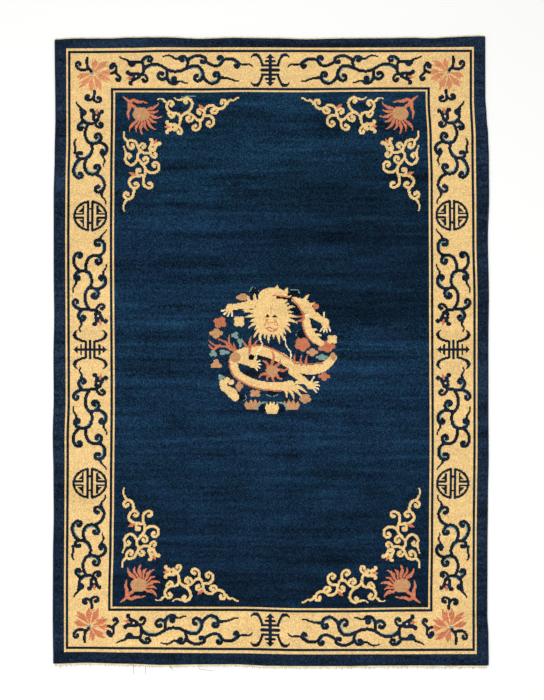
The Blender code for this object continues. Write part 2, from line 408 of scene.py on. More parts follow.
# Small hooks beside the corner flower, and the flower's own stem, counted from the flower's middle.
FLOWER_PLACE = (180, 277)
FLOWER_STEMS = (
    (((-5, -16), (-4, -5, -30)), 0),
    (((-4, -5), (-12, -4, 40), (-16, -9, 60)), 2.5),
    (((-4, -6), (0, 0, 20)), 0),
    (((22, -10), (18, -8, -60)), -1.8),
    (((20, -9), (24, -7, 60), (23, -2, 30), (27, 3, -20)), 2.8),
    (((19, 0), (24, -2, 20)), 0),
    (((2, 18), (1, 25, 30), (-4, 27, 50)), 2.8),
    (((1, 25), (5, 29, -60)), -3),
)
# The flower's petals: the way each points, in degrees, and its length.
PETALS = ((-78, 15), (-38, 20), (-4, 21), (22, 19), (46, 13), (64, 19), (92, 18), (132, 19), (166, 16))
PETAL_ROOT = 2.5
PETAL_BEND = 25
PETAL_FOLD = ((0.5, 1), (0.7, 2), (0.88, 3))    # share of the petal's length, and squares to one side
HEART_RADIUS = 1.6

# Leaf forms: widths at root, belly and tip, and how far along the belly is.
PETAL = (1.4, 5.6, 1.0, 0.6)
PETAL_GROUND = (2.8, 7.2, 2.2, 0.6)
FOLD = (1.6, 1.5, 0.8, 0.5)
CORNER_FLAME = (3.0, 3.2, 1.0, 0.5)
TONGUE = (1.8, 2.8, 1.0, 0.5)
SMALL_LEAF = (1.2, 3.4, 1.2, 0.5)

# A bud: stems with their curls' radii, its cup and tongue, and its eye's place and radius.
BUD_LEG = (((0, 0), (7, 3, 20), (13, 4, -10)), 1.7)
BUD_HOOK = (((0, 0), (-4, 5, -60)), -3)
BUD_CUP = ((0, 0), (5, 0), (11, 0))
BUD_CUP_WIDTHS = (8.0, 6.0)
BUD_TONGUE = ((11, 0), (13, 0), (16, 0))
BUD_EYE = ((6.5, 0), 1.0)

# The rays of each sun fan out from beside the corner, broader at the bottom of the rug.
SUN_RADIUS = (8.3, 6.9)
RAY_ROOT = 6
RAY_BENDS = (40, -50)
RAY_SPREAD = (-32, 124)
RAY_COUNT = 9
RAY_LENGTHS = (21, 18)
RAY_FORMS = ((FIELD, 3.4, 4.8, 2.2, 0.45), (CORAL, 2.0, 3.2, 0.8, 0.5))
BROAD_RAY = 1.25
CORNER_FLAMES = (
    ((-5, -6), (-12, -12, 20), (-18, -17, -20)),
    ((-12, -12), (-7, -14, 30), (-1, -12, -30), (6, -11, 40)),
    ((-12, -12), (-12, -7, -30), (-13, -2, 30), (-12, 5, -30)),
)

# The barred ornament in the middle of each border, charted as its stem and one of four arms.
BARRED_STEM = (
    (3.4, ((-14, 0), (14, 0))),
    (2.4, ((-9, -4.6), (-9, 4.6))),
    (2.4, ((9, -4.6), (9, 4.6))),
    (2.7, ((0, -8.8), (0, 8.8))),
)
BARRED_HEAD = ((17, 0), (12, -4.6), (12, 4.6))
BARRED_ARM = ((4.5, 0), (4.5, 8, 0), (11, 10, 20), (15, 13, 40), (13, 19, 90))
BARRED_ARM_WIDTHS = ((0, 18, 26, 4 * ARC_STEPS), (2.7, 2.7, 3.8, 1.5))   # steps along it, widths

# One quarter of the round fret, charted from its middle. Its ring is part of an ellipse.
FRET_ACROSS = 15.75
FRET_ALONG = 14.25
FRET_RING = np.radians(np.arange(8, 91, 4))
FRET_RING_WIDTH = 2.6
FRET_BARS = (
    (2.5, ((2.2, 0), (2.2, 14.5))),
    (2.1, ((0, 7), (2.2, 7))),
    (2.3, ((7, 2), (15.5, 2))),
    (2.3, ((7, 2), (7, 9.5))),
)
FRET_WEDGE = ((6, 4), (12, 4), (6, 10))

FRET_PLACE = (181, 134)
SIDE_ORNAMENT_PLACE = 181.5
END_ORNAMENT_PLACE = 280

NAVY_STROKE = 3.4
GOLD_STROKE = 2.6
THIN_SHARE = 0.9        # the stroke of buds and of the flower's stems, as a share of the scroll's
LEG_SHARE = 0.85        # a bud's legs, as a share of the bud's stroke
BULB = 0.7              # a bulb's radius, as a share of the stroke or of a tighter curl's radius
LEAST_BULB = 0.6        # its least radius, as a share of the stroke
TAIL = ((0, 0.6, 1), (0.45, 0.7, 1))    # share of a tail's length, then of its stroke
SHADE_STROKE = 1.5
SHADED_TURN = 45        # arcs that turn this much have the lighter yarn along their inner side


def in_quarter(spot, side, end):
    """A place in one quarter of the rug: side -1 is left and end -1 is the top."""
    return Place((side * spot[0], end * spot[1]), ((-side, 0), (0, -end)))


def wavy_ray(root, length, bends):
    """A ray or flame that bends one way and back."""
    return stem(((root, 0), (length * 0.6, 1, bends[0]), (length, 0, bends[1])))


def draw_shade(chart, place, start, end, turn, stroke):
    """Lighter yarn along the inner side of an arc."""
    leg, _ = arc(start, end, turn)
    way = np.gradient(leg, axis=0)
    inward = np.column_stack((-way[:, 1], way[:, 0])) / np.hypot(*way.T)[:, None]
    leg = leg + inward * math.copysign(stroke / 2 + SHADE_STROKE / 5, turn)
    chart.stroke(SHADE, place.put(leg[1:]), SHADE_STROKE)


def draw_stem(chart, place, points, radius, yarn, stroke, shaded=False):
    """A stem, with a curl and a bulb at its end where the curl has a radius."""
    route = stem(points, radius)
    for start, (*end, turn) in zip(points[:-1], points[1:]):
        if shaded and abs(turn) >= SHADED_TURN:
            draw_shade(chart, place, start[:2], end, turn, stroke)
    chart.stroke(yarn, place.put(route), stroke)
    if radius:
        chart.spot(yarn, place, route[-1], max(BULB * min(stroke, abs(radius)), LEAST_BULB * stroke))


def draw_bud(chart, place, yarn, stroke, hook):
    """A bud on two legs with a coral tongue between them, and a hook back from its root."""
    for hand in (-1, 1):
        draw_stem(chart, place.within((0, 0), hand=hand), *BUD_LEG, yarn, stroke * LEG_SHARE)
    chart.leaf(yarn, place, BUD_CUP, stroke, *BUD_CUP_WIDTHS)
    chart.leaf(CORAL, place, BUD_TONGUE, *TONGUE)
    chart.spot(GOLD if yarn == LINE else FIELD, place, *BUD_EYE)
    draw_stem(chart, place.within((0, 0), hand=hook), *BUD_HOOK, yarn, stroke)


def draw_scroll(chart, scroll, side, end, yarn, stroke):
    """One scroll in one quarter of the rug."""
    place = in_quarter(scroll["place"], side, end)
    for points, radius in scroll["vines"]:
        draw_stem(chart, place, points, radius, yarn, stroke, yarn == LINE)
    for points in scroll["tails"]:
        route = place.put(stem(points))
        chart.stroke(yarn, route, stroke * np.interp(np.linspace(0, 1, len(route)), *TAIL))
    for root, facing, size, hook in scroll["buds"]:
        draw_bud(chart, place.within(root, facing, size), yarn, stroke * THIN_SHARE, hook)
    for root, tip in scroll["leaves"]:
        middle = (np.array(root) + tip) / 2
        chart.leaf(CORAL, place, (root, middle, tip), *SMALL_LEAF)


def draw_flower(chart, side, end):
    """The corner flower: petals, each with a small fold, round a teal heart, and paler at the top."""
    place = in_quarter(FLOWER_PLACE, side, end)
    yarn = ROSE if end < 0 else CORAL
    for index, (degrees, length) in enumerate(PETALS):
        petal = place.within((0, 0), degrees)
        hand = 1 if index % 2 else -1
        route = stem(((PETAL_ROOT, 0), (length, 0, PETAL_BEND * hand)))
        chart.leaf(GOLD, petal, route, *PETAL_GROUND)
        chart.leaf(yarn, petal, route, *PETAL)
        chart.leaf(yarn, petal, np.array(PETAL_FOLD) * (length, hand), *FOLD)
    for points, radius in FLOWER_STEMS:
        draw_stem(chart, place, points, radius, LINE, NAVY_STROKE * THIN_SHARE)
    chart.spot(TEAL, place, (0, 0), HEART_RADIUS)


def draw_sun(chart, side, end):
    """A flaming sun in a corner of the field."""
    place = in_quarter(SUN_PLACE, side, end)
    broad = 1.0 if end < 0 else BROAD_RAY
    for index, degrees in enumerate(np.linspace(*RAY_SPREAD, RAY_COUNT)):
        ray = place.within((0, 0), degrees)
        route = wavy_ray(RAY_ROOT, RAY_LENGTHS[index % 2], RAY_BENDS)
        for yarn, root, belly, tip, where in RAY_FORMS:
            chart.leaf(yarn, ray, route, root * broad, belly * broad, tip, where)
    for flame in CORNER_FLAMES:
        chart.leaf(CORAL, place, stem(flame), *CORNER_FLAME)
    chart.spot(TAN, place, (0, 0), *SUN_RADIUS)


def draw_fret(chart, middle):
    """The round fret: one quarter of it, drawn four times."""
    ring = np.column_stack((FRET_ACROSS * np.sin(FRET_RING), FRET_ALONG * np.cos(FRET_RING)))
    for across in (-1, 1):
        for along in (-1, 1):
            place = Place(middle, ((across, 0), (0, along)))
            for width, points in (*FRET_BARS, (FRET_RING_WIDTH, ring)):
                chart.stroke(LINE, place.put(points), width)
            chart.fill(LINE, place.put(FRET_WEDGE))


def draw_barred(chart, middle, along, across):
    """The barred ornament: its stem runs along one way, and its arms reach across."""
    place = Place(middle, (along, across))
    for width, points in BARRED_STEM:
        chart.stroke(LINE, place.put(points), width)
    arm = stem(BARRED_ARM)
    widths = np.interp(np.arange(len(arm)), *BARRED_ARM_WIDTHS)
    for way in (-1, 1):
        chart.fill(LINE, place.put(np.array(BARRED_HEAD) * (way, 1)))
        for side in (-1, 1):
            chart.stroke(LINE, place.put(arm * (way, side)), widths)


# The dragon roundel in the middle of the field, counted from its own middle. It is built from the
# usual stock of such roundels: a maned head seen from the front, a winding body edged with coral,
# clawed feet, a flaming pearl, drifting clouds, and mountains among waves at its foot.
CLOUDS = (
    # yarn, place, radius across and along, number of lobes, where the first lobe points
    (RUST, (-52, -27), (7, 6), 4, 30),
    (TAN, (-56, -16), (7, 5), 4, 0),
    (GOLD, (-33, -28), (6, 6), 4, 45),
    (TEAL, (-37, -14), (4, 4), 3, 60),
    (TEAL, (-32, -7), (3, 5), 3, 90),
    (TEAL, (-59, 4), (4, 4), 3, 30),
    (TEAL, (-48, 3), (6, 3), 3, 0),
    (TAN, (-56, 15), (6, 5), 3, -90),
    (TEAL, (-51, 28), (4, 3), 3, 0),
    (TAN, (-33, 37), (4, 5), 4, 0),
    (TAN, (-17, 44), (6, 4), 4, 45),
    (TAN, (33, 49), (6, 5), 5, 20),
    (RUST, (52, 27), (6, 4), 4, 0),
    (RUST, (43, -43), (4, 5), 3, 0),
    (RUST, (30, -5), (8, 7), 5, 10),
    (TAN, (40, 3), (6, 4), 4, 0),
    (TEAL, (50, 8), (7, 3), 4, 0),
    (RUST, (54, -3), (9, 6), 5, 0),
    (GOLD, (60, -10), (6, 5), 4, 45),
    (TAN, (-29, -52), (7, 4), 4, 0),
)
DARK_CLOUDS = (
    # place, radius across and along, the side on which its pale outline shows
    ((-17, -58), (5, 4), (-1, -1)),
    ((22, -56), (6, 4), (1, -1)),
    ((28, -15), (4, 4), (-1, 0)),
    ((0, 44), (6, 3), (0, 1)),
    ((-31, 48), (5, 4), (1, 0)),
)
DARK_OUTLINE = 0.7
DARK_LOBES = (5, 20)        # number of lobes, where the first lobe points
LOBE_SIZE = 0.46            # radius of a lobe and of the middle, as shares of the cloud's
CLOUD_MIDDLE = 0.62

BODY = (
    # each length of the body: points of its stem, widths along it
    (((-38, 8), (-35, 25, -50), (-10, 36, -30), (9, 37, -10), (18, 36, -10)), (8.5, 8, 8, 8, 10)),
    (
        ((-36, 7), (-12, 1, 40), (10, 9, 10), (34, 20, -30), (50, 18, -30), (61, 8, -30)),
        (9, 10, 10, 9.5, 9.5, 7),
    ),
    (((22, -50), (32, -45, 0), (39, -36, 10), (45, -32, -10)), (5, 11, 9, 5)),
    (((34, -32), (36, -20, -10), (42, -11, -20), (49, -6, -10)), (7, 8, 8, 6)),
)
HIP = ((-25, 9), 9, 6)      # place, radius across and along
HIP_HOLLOW = ((-21, 8), 3)
CORAL_EDGES = (
    # a thin coral line along the back of each length: yarn, stem, width
    (RUST, ((-24, -3), (-12, -4, 20), (10, 5, 20), (24, 14, 0), (50, 14, -10)), 1.6),
    (RUST, ((-43, 11), (-38, 27, -40), (-10, 40, -30), (9, 41, -10)), 1.6),
    (RUST, ((20, -51), (28, -41, 10), (32, -33, 10)), 1.6),
    (RUST, ((30, -29), (33, -17, -20), (42, -6, -30)), 1.6),
)
# Feet: where the wrist is, the way it faces, its size, where its leg starts, and the fan of its talons.
FEET = (
    ((-42, -42), 118, 1.0, (-20, -45), (-41, -13, 13, 40)),
    ((53, -27), 85, 1.1, (44, -33), (-25, -5, 14, 34, 180)),
    ((38, 36), 12, 1.0, (20, 22), (-36, -12, 12, 36, -78)),
    ((-20, 15), 14, 0.9, (-32, 10), (-38, -12, 12, 36)),
)
LEG_WIDTHS = (8, 6.5, 5)
PAW_RADIUS = 3.8
TALON = ((1, 0), (9, 0, 30))
TALON_WIDTHS = (2.6, 2.0, 1.4)
CLAW_WIDTH = 1.3
LOCKS = (
    # hair on the crown, the shoulders and the hip: place, the way it points, length
    ((-17, -49), -90, 7),
    ((-22, -47), -110, 6),
    ((-24, -42), 150, 6),
    ((5, -60), -80, 4),
    ((14, -57), -70, 5),
    ((33, -50), -50, 6),
    ((37, -44), -20, 5),
    ((40, -19), -10, 5),
    ((44, -14), 0, 5),
    ((13, 39), 80, 9),
    ((17, 40), 62, 11),
    ((21, 39), 46, 12),
    ((24, 37), 30, 12),
    ((25, 33), 12, 12),
    ((22, 24), -25, 9),
)
LOCK_FORM = (30, 4.0)        # bend, width at the root
LOCK_BELLY = 0.7             # a lock's width half way, as a share of that
LOCK_TIP = 0.8

# Mountains: place across and of the foot, half width, height, yarn.
MOUNTAINS = ((-19, 60, 9, 11, TAN), (19, 60, 9, 11, TAN), (0, 64, 7, 14, GOLD))
# Their one outline, as shares of the half width and height: peaks, valleys, shoulders and foot.
PEAK_PLACES = np.linspace(-0.75, 0.75, 7)
PEAK_HEIGHTS = np.array((1, 0.6, 1, 0.6, 1, 0.6, 1)) * (1 - 0.3 * abs(PEAK_PLACES))
MOUNTAIN = ((-1, 0.4), *zip(PEAK_PLACES, PEAK_HEIGHTS), (1, 0.4), (0.7, 0), (-0.7, 0))
WAVES = ((TEAL, ((5, 53), (11, 54, 40), (15, 60, 40)), 1.5),)
WAVE_HOLLOW = ((10, 59), 3.6, 4.2)

HEAD_PLACE = (-1, -34)
FACE = (16, 19)             # half its width and height
CROWN = ((2, -18), 15, 10)
EYE = ((0.8, 2.4), (3.6, -1.4), (6.4, 2.4))
CHEEK_LINES = (
    # the lines of half the face: yarn, stem, width
    (CORAL, ((5, 4), (7, 10, -50)), 1.2),
    (TAN, ((3, 4), (3, 9, 50)), 1.0),
)
FACE_LINES = (
    # those of the nose, the mouth and the top of the head
    (TAN, ((0, -9), (0, -2, 0)), 0.8),
    (CORAL, ((-1, 7), (2, 7, -90)), 1.2),
    (CORAL, ((-5, 13), (0, 13, 60), (6, 13, -60)), 1.5),
    (CORAL, ((-4, 14), (1, 16, -30), (6, 14, -30)), 1.3),
    (CORAL, ((2, -20), (18, -18, 10)), 1.5),
    (INK, ((6, -18), (19, -16, 10)), 2.2),
)
MANE_SPREAD = (-42, 222)
MANE_COUNT = 24
MANE_LENGTHS = (15, 9, 13, 10, 14)
MANE_ROOT = 0.75            # where its locks start, as a share of the face
MANE_FORM = (35, 4.8)       # bend, width at the root
WHISKERS = (
    (CREAM, ((-12, -12), (-10, -6, -40), (-14, 1, 40), (-16, 9, -30)), 1.0),
    (CREAM, ((12, -13), (13, -6, 20), (18, 2, -30), (18, 11, 40)), 1.0),
)
ANTLER = (2.4, 1.9, 1.1)
ANTLERS = (
    ((-36, 4), (-46, -3, -20), (-57, -4, 10), (-63, -9, 30)),
    ((-42, 0), (-46, -7, 10), (-54, -10, -20)),
    ((-52, -4), (-58, 0, -20), (-63, -4, 30)),
    ((-38, 2), (-43, -6, -10), (-43, -14, 20)),
    ((-36, 2), (-39, -6, 10)),
)
FLAMES = (
    # foot of the flame, the way it points, its length
    ((-26, -3), -120, 6),
    ((-22, -2), -85, 11),
    ((-18, -3), -60, 7),
    ((-23, -2), 95, 8),
    ((23, 14), -92, 9),
    ((29, 15), -88, 9),
    ((34, 15), -84, 9),
    ((33, -34), 178, 10),
    ((32, -31), 160, 8),
    ((34, -35), -150, 6),
)
FLAME_FORM = (40, 2.6)      # bend, width at the root
PEARL_PLACE = (0, 22)
PEARL = ((-7, -1), (-3, -5), (3, -5), (7, -1), (3, 4), (0, 7), (-3, 4))
PEARL_FLAME = (3.6, 3.0, 1.3)
PEARL_FLAME_ROOT = 3
PEARL_BENDS = (50, -60)
PEARL_FLAMES = ((-90, 19), (-132, 14), (-55, 14), (-12, 16), (38, 12), (78, 10), (120, 10), (156, 14))
# The dark hollow that the body winds round.
HOLLOW = ((-14, 6), (-2, 9, 10), (14, 19, 10), (16, 27, 50), (-4, 31, 30), (-27, 25, 20), (-14, 6, 90))
# The swirling cloud at the lower left: its round lobes, by place and radius.
SWIRL = ((-41, 33, 3), (-45, 31, 3), (-49, 34, 4), (-48, 38, 4), (-44, 41, 4), (-40, 44, 5), (-37, 48, 4))
SMALL_SPOTS = (
    # yarn, place, radius across and along
    (TAN, (-37, 8), 5.5, 5),
    (TAN, (61, 7), 2.6, 4.4),
    (CREAM, (35, -34), 2.4, 1.3),
)
DARK_LINES = (
    (LINE, ((-43, 36), (-38, 37, 30)), 2.0),
    (LINE, ((-36, -48), (-28, -48.5, 0)), 1.8),
)


def draw_lines(chart, place, lines):
    """Stems that are one width all along."""
    for yarn, points, width in lines:
        chart.stroke(yarn, place.put(stem(points)), width)


def draw_cloud(chart, place, yarn, middle, radii, lobes, first):
    """A little cloud: a ring of round lobes about its middle."""
    radii = np.array(radii, float)
    for turn in np.radians(np.arange(lobes) * 360 / lobes + first):
        way = np.array((math.cos(turn), math.sin(turn)))
        chart.spot(yarn, place, middle + radii * way * (1 - LOBE_SIZE), *(radii * LOBE_SIZE))
    chart.spot(yarn, place, middle, *(radii * CLOUD_MIDDLE))


def draw_lock(chart, place, length, bend, width, yarn=GOLD):
    """A lock of hair or a flame: broad at its root, bent, and thin at its tip."""
    chart.leaf(yarn, place, stem(((0, 0), (length, 0, bend))), width, width * LOCK_BELLY, LOCK_TIP)


def draw_foot(chart, roundel, wrist, facing, size, leg, talons):
    """A leg and its foot, its talons in a fan with pale claws."""
    chart.leaf(GOLD, roundel, (leg, (np.array(leg) + wrist) / 2, wrist), *LEG_WIDTHS)
    foot = roundel.within(wrist, facing, size)
    chart.spot(GOLD, foot, (0, 0), PAW_RADIUS * size)
    for degrees in talons:
        talon = foot.within((0, 0), degrees)
        route = stem(TALON)
        chart.leaf(GOLD, talon, route, *TALON_WIDTHS)
        chart.stroke(CREAM, talon.put(route[-3:]), CLAW_WIDTH)


def draw_head(chart, roundel):
    """The dragon's face in its mane, seen from the front."""
    head = roundel.within(HEAD_PLACE)
    bend, width = MANE_FORM
    for index, degrees in enumerate(np.linspace(*MANE_SPREAD, MANE_COUNT)):
        angle = math.radians(degrees)
        root = np.array((FACE[0] * math.cos(angle), FACE[1] * math.sin(angle))) * MANE_ROOT
        length = MANE_LENGTHS[index % len(MANE_LENGTHS)]
        draw_lock(chart, head.within(root, degrees), length, math.copysign(bend, math.cos(angle)), width)
    chart.spot(GOLD, head, (0, 0), *FACE)
    chart.spot(GOLD, head, *CROWN)
    for side in (-1, 1):
        half = Place(head.corner, ((side, 0), (0, 1)))
        chart.fill(INK, half.put(EYE))
        draw_lines(chart, half, CHEEK_LINES)
    draw_lines(chart, head, FACE_LINES)


def draw_clouds(chart, roundel):
    """The drifting clouds, the dark ones with a pale outline on one side."""
    for middle, radii, outline in DARK_CLOUDS:
        draw_cloud(chart, roundel, SHADE, np.array(outline) * DARK_OUTLINE + middle, radii, *DARK_LOBES)
        draw_cloud(chart, roundel, INK, middle, radii, *DARK_LOBES)
    for row in CLOUDS:
        draw_cloud(chart, roundel, *row)


def draw_body(chart, roundel):
    """The winding body, its coral edges, its hair and its feet."""
    chart.fill(LINE, roundel.put(stem(HOLLOW)))
    for points, widths in BODY:
        route = stem(points)
        along = np.interp(np.arange(len(route)), np.linspace(0, len(route) - 1, len(widths)), widths)
        chart.stroke(GOLD, roundel.put(route), along)
    draw_lines(chart, roundel, CORAL_EDGES)
    for place, pointing, length in LOCKS:
        draw_lock(chart, roundel.within(place, pointing), length, *LOCK_FORM)
    chart.spot(GOLD, roundel, *HIP)
    for row in FEET:
        draw_foot(chart, roundel, *row)
    chart.spot(INK, roundel, *HIP_HOLLOW)


def draw_pearl(chart, roundel):
    """The flaming pearl, and the flames along the body."""
    pearl = roundel.within(PEARL_PLACE)
    for pointing, length in PEARL_FLAMES:
        flame = pearl.within((0, 0), pointing)
        chart.leaf(RUST, flame, wavy_ray(PEARL_FLAME_ROOT, length, PEARL_BENDS), *PEARL_FLAME)
    chart.fill(TAN, pearl.put(PEARL))
    for foot, pointing, length in FLAMES:
        draw_lock(chart, roundel.within(foot, pointing), length, *FLAME_FORM, RUST)


def draw_mountains(chart, roundel):
    """Three mountains at the foot, with a wave on either side of the middle one."""
    for across, foot, half_width, height, yarn in MOUNTAINS:
        chart.fill(yarn, roundel.put(np.array(MOUNTAIN) * (half_width, -height) + (across, foot)))
    for side in (-1, 1):
        half = Place(roundel.corner, ((side, 0), (0, 1)))
        chart.spot(INK, half, *WAVE_HOLLOW)
        draw_lines(chart, half, WAVES)


def draw_roundel(chart):
    """The whole roundel, from what lies furthest back to what lies in front."""
    roundel = Place((0, 0))
    draw_clouds(chart, roundel)
    for route in ANTLERS:
        chart.leaf(RUST, roundel, stem(route), *ANTLER)
    draw_body(chart, roundel)
    draw_pearl(chart, roundel)
    for yarn, *spot in SMALL_SPOTS:
        chart.spot(yarn, roundel, *spot)
    draw_head(chart, roundel)
    draw_lines(chart, roundel, WHISKERS)
    for *middle, radius in SWIRL:
        chart.spot(GOLD, roundel, middle, radius)
    draw_lines(chart, roundel, DARK_LINES)
    draw_mountains(chart, roundel)


def rug_chart():
    """The whole design: stripes first, then what lies on them."""
    chart = Chart()
    for yarn, reach_across, reach_along in STRIPES:
        chart.frame(yarn, reach_across, reach_along)
    for side in (-1, 1):
        for end in (-1, 1):
            draw_flower(chart, side, end)
            for scroll in (END_SCROLL, SIDE_SCROLL, INNER_SCROLL):
                draw_scroll(chart, scroll, side, end, LINE, NAVY_STROKE)
            draw_sun(chart, side, end)
            for scroll in (FIELD_END_SCROLL, FIELD_SIDE_SCROLL):
                draw_scroll(chart, scroll, side, end, GOLD, GOLD_STROKE)
            draw_fret(chart, (side * FRET_PLACE[0], end * FRET_PLACE[1]))
        draw_barred(chart, (side * SIDE_ORNAMENT_PLACE, 0), (1, 0), (0, 1))
        draw_barred(chart, (0, side * END_ORNAMENT_PLACE), (0, 1), (1, 0))
    draw_roundel(chart)
    chart.stroke(SHADE, np.array(WORN, float), WORN_WIDTH)
    return chart


# Where everything lies.
def stray(table, place):
    """How far an edge or line strays at a place, turning softly between the rows of its table."""
    places, values = np.array(table, float).T
    place = np.clip(place, places[0], places[-1])
    row = np.clip(np.searchsorted(places, place) - 1, 0, len(places) - 2)
    t = (place - places[row]) / (places[row + 1] - places[row])
    return values[row] + (values[row + 1] - values[row]) * t * t * (3 - 2 * t)


def side_edge(side, y):
    """Where the body's left edge (-1) or right edge (1) runs."""
    return side * (BODY_WIDTH / 2 + stray(LEFT_EDGE if side < 0 else RIGHT_EDGE, y * 1000) / 1000)


def end_edge(end, x):
    """Where the body's bottom edge (-1) or top edge (1) runs."""
    return end * (BODY_LENGTH / 2 + stray(BOTTOM_EDGE if end < 0 else TOP_EDGE, x * 1000) / 1000)


def shares(lines, anchors):
    """For each line of knots, how much it follows each of the anchor lines."""
    return np.array([np.interp(lines, anchors, row) for row in np.eye(len(anchors))]).T


def knot_corners():
    """The place of every corner between knots, in the part's frame, rows from the top down."""
    u = np.linspace(-DESIGN_HALF_WIDTH, DESIGN_HALF_WIDTH, KNOT_COLUMNS + 1)
    v = np.linspace(-DESIGN_HALF_LENGTH, DESIGN_HALF_LENGTH, KNOT_ROWS + 1)
    across = (-DESIGN_HALF_WIDTH, *(place for place, _ in LINES_ACROSS), DESIGN_HALF_WIDTH)
    along = (-DESIGN_HALF_LENGTH, *(place for place, _ in LINES_ALONG), DESIGN_HALF_LENGTH)
    x_lines = [(place + stray(table, v)) * SQUARE + DESIGN_MIDDLE[0] for place, table in LINES_ACROSS]
    y_lines = [-(place + stray(table, u)) * SQUARE + DESIGN_MIDDLE[1] for place, table in LINES_ALONG]
    x_lines = [side_edge(-1, -v * SQUARE), *x_lines, side_edge(1, -v * SQUARE)]
    y_lines = [end_edge(1, u * SQUARE), *y_lines, end_edge(-1, u * SQUARE)]
    return (shares(u, across) @ np.array(x_lines)).T, shares(v, along) @ np.array(y_lines)


WOOL_SEED = 7
PILE_TOP = BODY_THICKNESS - 0.0004   # highest tips of the wool
RIM_DROP = 0.0022                    # how far the outermost tips lean down
SECOND_RIM_DROP = RIM_DROP * 0.3
TIP_UNEVENNESS = 0.0003
DEEPEST_TIP = 0.0014                 # the most that wear takes off
UNDERSIDE = 0.0002                   # the cotton backs of the knots, just above the floor
TILES_ACROSS = 2
TILES_ALONG = 3
BACK_STEP_ACROSS = 2                 # knots in one patch of the underside
BACK_STEP_ALONG = 3

# How uneven the shades are. Twist is each knot's own. Streaks run along the rows, clouds and bands
# are broader.
PALE_TWIST = 0.065
NAVY_TWIST = 0.25
BORDER_TWIST = 0.28
PALE_STREAKS = 0.02
NAVY_STREAKS = 0.12
PALE_CLOUDS = 0.015
NAVY_CLOUDS = 0.05
NAVY_BANDS = 0.08
GREENER_STREAKS = 0.15
WEAR_GRID = (50, 34)                 # how coarse each kind is: rows and columns over the rug
STREAK_GRID = (KNOT_ROWS // 3, 12)
CLOUD_GRID = (40, 30)
BAND_GRID = (90, 4)
GREENER_GRID = (KNOT_ROWS // 3, 30)
TONE_RANGE = (0.4, 1.8)
SIGHT = 2.2                          # how the eye's scale of lightness turns to one of light

wool = np.random.default_rng(WOOL_SEED)
CHART = rug_chart()
CORNER_X, CORNER_Y = knot_corners()
BODY_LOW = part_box("pile_body")[0]
SHIFT_X = BODY_LOW.x - CORNER_X.min()
SHIFT_Y = BODY_LOW.y - CORNER_Y.min()
CORNER_X += SHIFT_X
CORNER_Y += SHIFT_Y


def soft_noise(rows, columns, coarse_rows, coarse_columns):
    """Seeded noise, drawn coarse and stretched over the knots."""
    coarse = wool.normal(0, 1, (coarse_rows, coarse_columns))
    place = np.linspace(0, coarse_rows - 1, rows)
    tall = np.array([np.interp(place, np.arange(coarse_rows), column) for column in coarse.T]).T
    place = np.linspace(0, coarse_columns - 1, columns)
    return np.array([np.interp(place, np.arange(coarse_columns), row) for row in tall])


def pile_heights():
    """The tips of the pile: level, with the small unevenness of shears and wear, and a soft rim."""
    shape = CORNER_X.shape
    height = PILE_TOP - TIP_UNEVENNESS * abs(wool.normal(0, 1, shape))
    height -= TIP_UNEVENNESS * abs(soft_noise(*shape, *WEAR_GRID))
    height = np.clip(height, PILE_TOP - DEEPEST_TIP, PILE_TOP)
    row, column = np.indices(shape)
    from_rim = np.minimum(np.minimum(row, column), np.minimum(shape[0] - 1 - row, shape[1] - 1 - column))
    height[from_rim == 0] = PILE_TOP - RIM_DROP
    height[from_rim == 1] = PILE_TOP - SECOND_RIM_DROP
    return height


def knot_tones():
    """How light each knot is: dye lots in rows, streaks along the rows, and its own twist of yarn."""
    rows, columns = CHART.yarn.shape
    lots = stray(DYE_LOTS, CHART.v)[:, None] * np.ones(columns)
    lots -= stray(LOT_SPLIT, CHART.v)[:, None] * np.tanh(CHART.u / SPLIT_WIDTH)
    field = CHART.yarn == FIELD
    border = CHART.yarn == BORDER
    navy = np.isin(CHART.yarn, (FIELD, BORDER, LINE, INK))
    streaks = soft_noise(rows, columns, *STREAK_GRID)
    clouds = soft_noise(rows, columns, *CLOUD_GRID)
    bands = soft_noise(rows, columns, *BAND_GRID)
    twist = wool.normal(0, 1, (rows, columns))
    pale = 1 + PALE_TWIST * twist + PALE_STREAKS * streaks + PALE_CLOUDS * clouds
    dark = 1 + np.where(border, BORDER_TWIST, NAVY_TWIST) * twist
    dark += NAVY_STREAKS * streaks + NAVY_CLOUDS * clouds + NAVY_BANDS * bands
    greener = soft_noise(rows, columns, *GREENER_GRID) * GREENER_STREAKS
    greener += wool.uniform(0, 1, (rows, columns))
    CHART.yarn[field & (greener < stray(GREENER, CHART.v)[:, None])] = MARINE
    tone = np.where(navy, dark, pale)
    tone = np.where(field, tone * lots, tone)
    tone = np.where(border, tone * (1 + lots) / 2, tone)
    return np.clip(tone, *TONE_RANGE) ** SIGHT


HEIGHTS = pile_heights()
TONES = knot_tones()


# Helpers for materials and meshes.
def colour(code):
    """A hex sRGB colour as linear numbers with alpha."""
    parts = [int(code[i:i + 2], 16) / 255 for i in (1, 3, 5)]
    linear = [c / 12.92 if c <= 0.04045 else ((c + 0.055) / 1.055) ** 2.4 for c in parts]
    return (*linear, 1.0)


def add_node(tree, kind, settings=None, links=None, stops=()):
    """A node with its settings, links from other nodes' sockets to its own, and a ramp's stops."""
    node = tree.nodes.new("ShaderNode" + kind)
    for name, value in (settings or {}).items():
        if isinstance(name, str) and hasattr(node, name):
            setattr(node, name, value)
        else:
            node.inputs[name].default_value = value
    for name, socket in (links or {}).items():
        tree.links.new(socket, node.inputs[name])
    for index, (position, code) in enumerate(stops):
        held = node.color_ramp.elements
        stop = held[index] if index < 2 else held.new(position)
        stop.position = position
        stop.color = colour(code)
    return node


